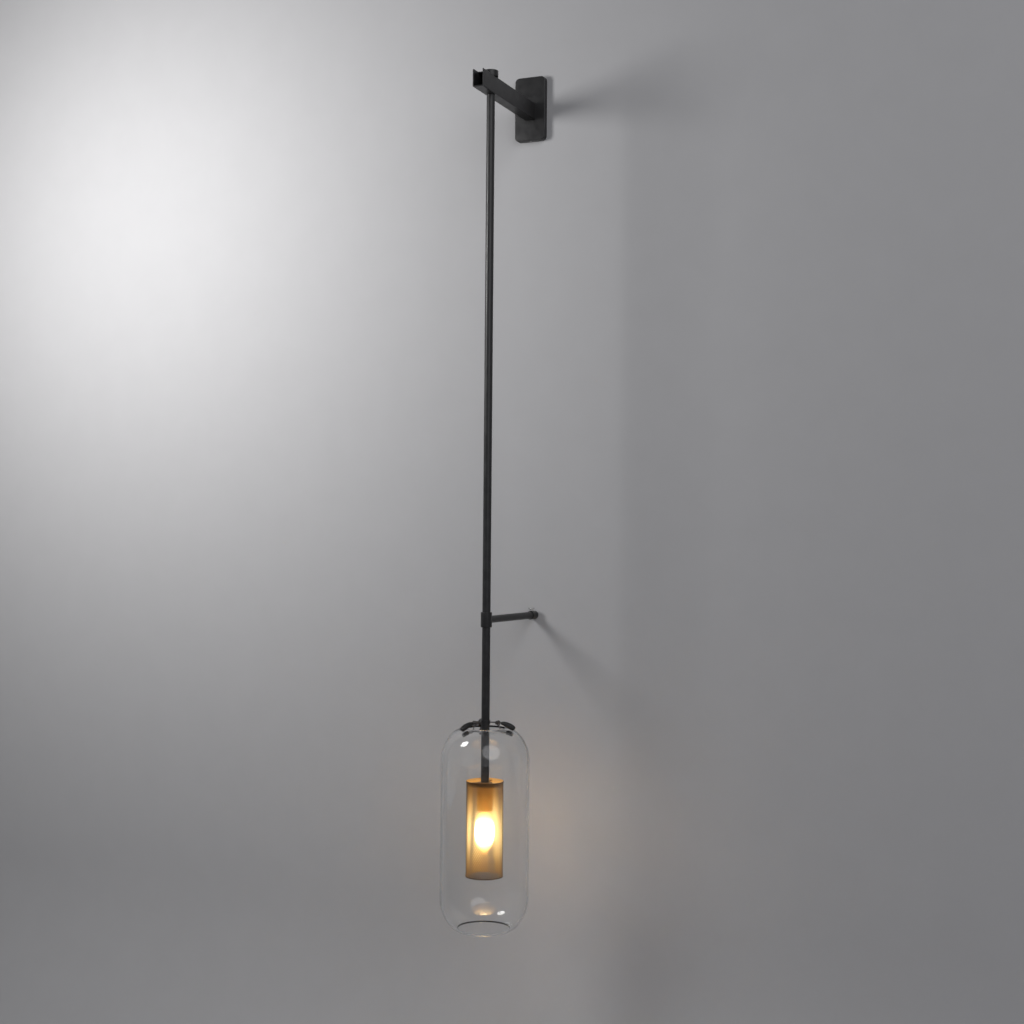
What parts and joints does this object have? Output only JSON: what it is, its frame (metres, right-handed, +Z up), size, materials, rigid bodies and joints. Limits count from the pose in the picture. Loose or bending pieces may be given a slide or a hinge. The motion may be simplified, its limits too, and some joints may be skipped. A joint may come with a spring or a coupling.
{
  "type": "hanging pendant wall sconce",
  "caption": "Wall sconce with a long black rod hung from a box section arm, a wall stand-off, sprung clips holding a clear glass capsule, and a perforated brass shade round a candle lamp.",
  "frame": {"origin": "on the wall surface, behind the middle of the wall plate (midway between its two wall screws)", "axes": "+Z up along the rod, +Y into the wall, +X to the right of someone who faces the wall"},
  "size_m": [0.15, 0.2575, 1.4931],
  "materials": {
    "black_enamel": "satin black enamel over steel",
    "zinc_steel": "zinc plated",
    "screw_steel": "turned, bright",
    "thumb_steel": "polished neck, dark head",
    "clip_steel": "spring steel, dull nickel",
    "pad_rubber": "soft dark rubber sleeve",
    "clear_glass": "clear blown glass",
    "mesh_brass": "aged brass, perforated in diamonds",
    "holder_brass": "brass",
    "socket_core": "white moulded insulator",
    "terminal_plastic": "white moulded plastic",
    "lead_sheath": "black sheath",
    "lamp_metal": "rolled nickel plated cap",
    "lamp_insulator": "black glass insulator",
    "bulb_glass": "clear lamp glass",
    "filament": "glowing filament sticks"
  },
  "bodies": {
    "root": {"arm": "black_enamel", "canopy_screws": "screw_steel", "cap_screw": "screw_steel", "clip_hub": "black_enamel", "clip_pin_1": "clip_steel", "clip_pin_2": "clip_steel", "clip_pin_3": "clip_steel", "clip_spring_1": "clip_steel", "clip_spring_2": "clip_steel", "clip_spring_3": "clip_steel", "clip_wire_1": "clip_steel", "clip_wire_2": "clip_steel", "clip_wire_3": "clip_steel", "earth_screw": "screw_steel", "glass_shade": "clear_glass", "holder_contact": "holder_brass", "holder_core": "socket_core", "holder_sleeve": "holder_brass", "holder_thread": "holder_brass", "lead": "lead_sheath", "lower_rim": "mesh_brass", "mesh_shade": "mesh_brass", "mounting_bracket": "zinc_steel", "nipple": "screw_steel", "nipple_nut": "screw_steel", "rod": "black_enamel", "rod_cap": "black_enamel", "root_block": "zinc_steel", "root_screws": "screw_steel", "shade_spider": "mesh_brass", "terminal_block": "terminal_plastic", "terminal_screws": "screw_steel", "upper_rim": "mesh_brass", "wall_plate": "black_enamel"},
    "standoff": {"standoff_clamp": "black_enamel", "clamp_screw": "screw_steel", "standoff_bar": "black_enamel"},
    "wall_cup": {"wall_cup": "black_enamel"},
    "thumb_screw": {"thumb_screw": "thumb_steel"},
    "lamp": {"lamp_cap": "lamp_metal", "lamp_insulator": "lamp_insulator", "lamp_contact": "lamp_metal", "lamp_bulb": "bulb_glass", "lamp_stem": "bulb_glass", "lamp_filament": "filament"},
    "upper_prong_1": {"upper_prong_1": "clip_steel", "upper_pad_1": "pad_rubber"},
    "lower_prong_1": {"lower_prong_1": "clip_steel", "lower_sleeve_1": "pad_rubber"},
    "upper_prong_2": {"upper_prong_2": "clip_steel", "upper_pad_2": "pad_rubber"},
    "lower_prong_2": {"lower_prong_2": "clip_steel", "lower_sleeve_2": "pad_rubber"},
    "upper_prong_3": {"upper_prong_3": "clip_steel", "upper_pad_3": "pad_rubber"},
    "lower_prong_3": {"lower_prong_3": "clip_steel", "lower_sleeve_3": "pad_rubber"}
  },
  "joints": [
    {"name": "standoff_height", "type": "slide", "parent": "root", "child": "standoff", "axis": [0, 0, 1], "range_m": [-0.13, 0.82]},
    {"name": "wall_cup_reach", "type": "slide", "parent": "standoff", "child": "wall_cup", "axis": [0.0698, 0.9976, 0], "range_m": [-0.005, 0.002]},
    {"name": "thumb_screw_turn", "type": "hinge", "parent": "wall_cup", "child": "thumb_screw", "pos_m": [0.01185, -0.01297, -0.913], "axis": [0, 0, 1], "continuous": true},
    {"name": "lamp_turn", "type": "hinge", "parent": "root", "child": "lamp", "pos_m": [0, -0.1825, -1.22], "axis": [0, 0, 1], "continuous": true},
    {"name": "upper_prong_swing_1", "type": "hinge", "parent": "root", "child": "upper_prong_1", "pos_m": [0.02195, -0.18096, -1.0857], "axis": [0.0698, -0.9976, 0], "range_deg": [0, 50], "stiffness_Nm_per_rad": 0.06, "springref_deg": -114.59},
    {"name": "lower_prong_swing_1", "type": "hinge", "parent": "root", "child": "lower_prong_1", "pos_m": [0.02195, -0.18096, -1.0857], "axis": [-0.0698, 0.9976, 0], "range_deg": [0, 45], "stiffness_Nm_per_rad": 0.06, "springref_deg": -114.59},
    {"name": "upper_prong_swing_2", "type": "hinge", "parent": "root", "child": "upper_prong_2", "pos_m": [-0.0123, -0.16426, -1.0857], "axis": [0.829, 0.5592, 0], "range_deg": [0, 50], "stiffness_Nm_per_rad": 0.06, "springref_deg": -114.59},
    {"name": "lower_prong_swing_2", "type": "hinge", "parent": "root", "child": "lower_prong_2", "pos_m": [-0.0123, -0.16426, -1.0857], "axis": [-0.829, -0.5592, 0], "range_deg": [0, 45], "stiffness_Nm_per_rad": 0.06, "springref_deg": -114.59},
    {"name": "upper_prong_swing_3", "type": "hinge", "parent": "root", "child": "upper_prong_3", "pos_m": [-0.00964, -0.20227, -1.0857], "axis": [-0.8988, 0.4384, 0], "range_deg": [0, 50], "stiffness_Nm_per_rad": 0.06, "springref_deg": -114.59},
    {"name": "lower_prong_swing_3", "type": "hinge", "parent": "root", "child": "lower_prong_3", "pos_m": [-0.00964, -0.20227, -1.0857], "axis": [0.8988, -0.4384, 0], "range_deg": [0, 45], "stiffness_Nm_per_rad": 0.06, "springref_deg": -114.59}
  ]
}
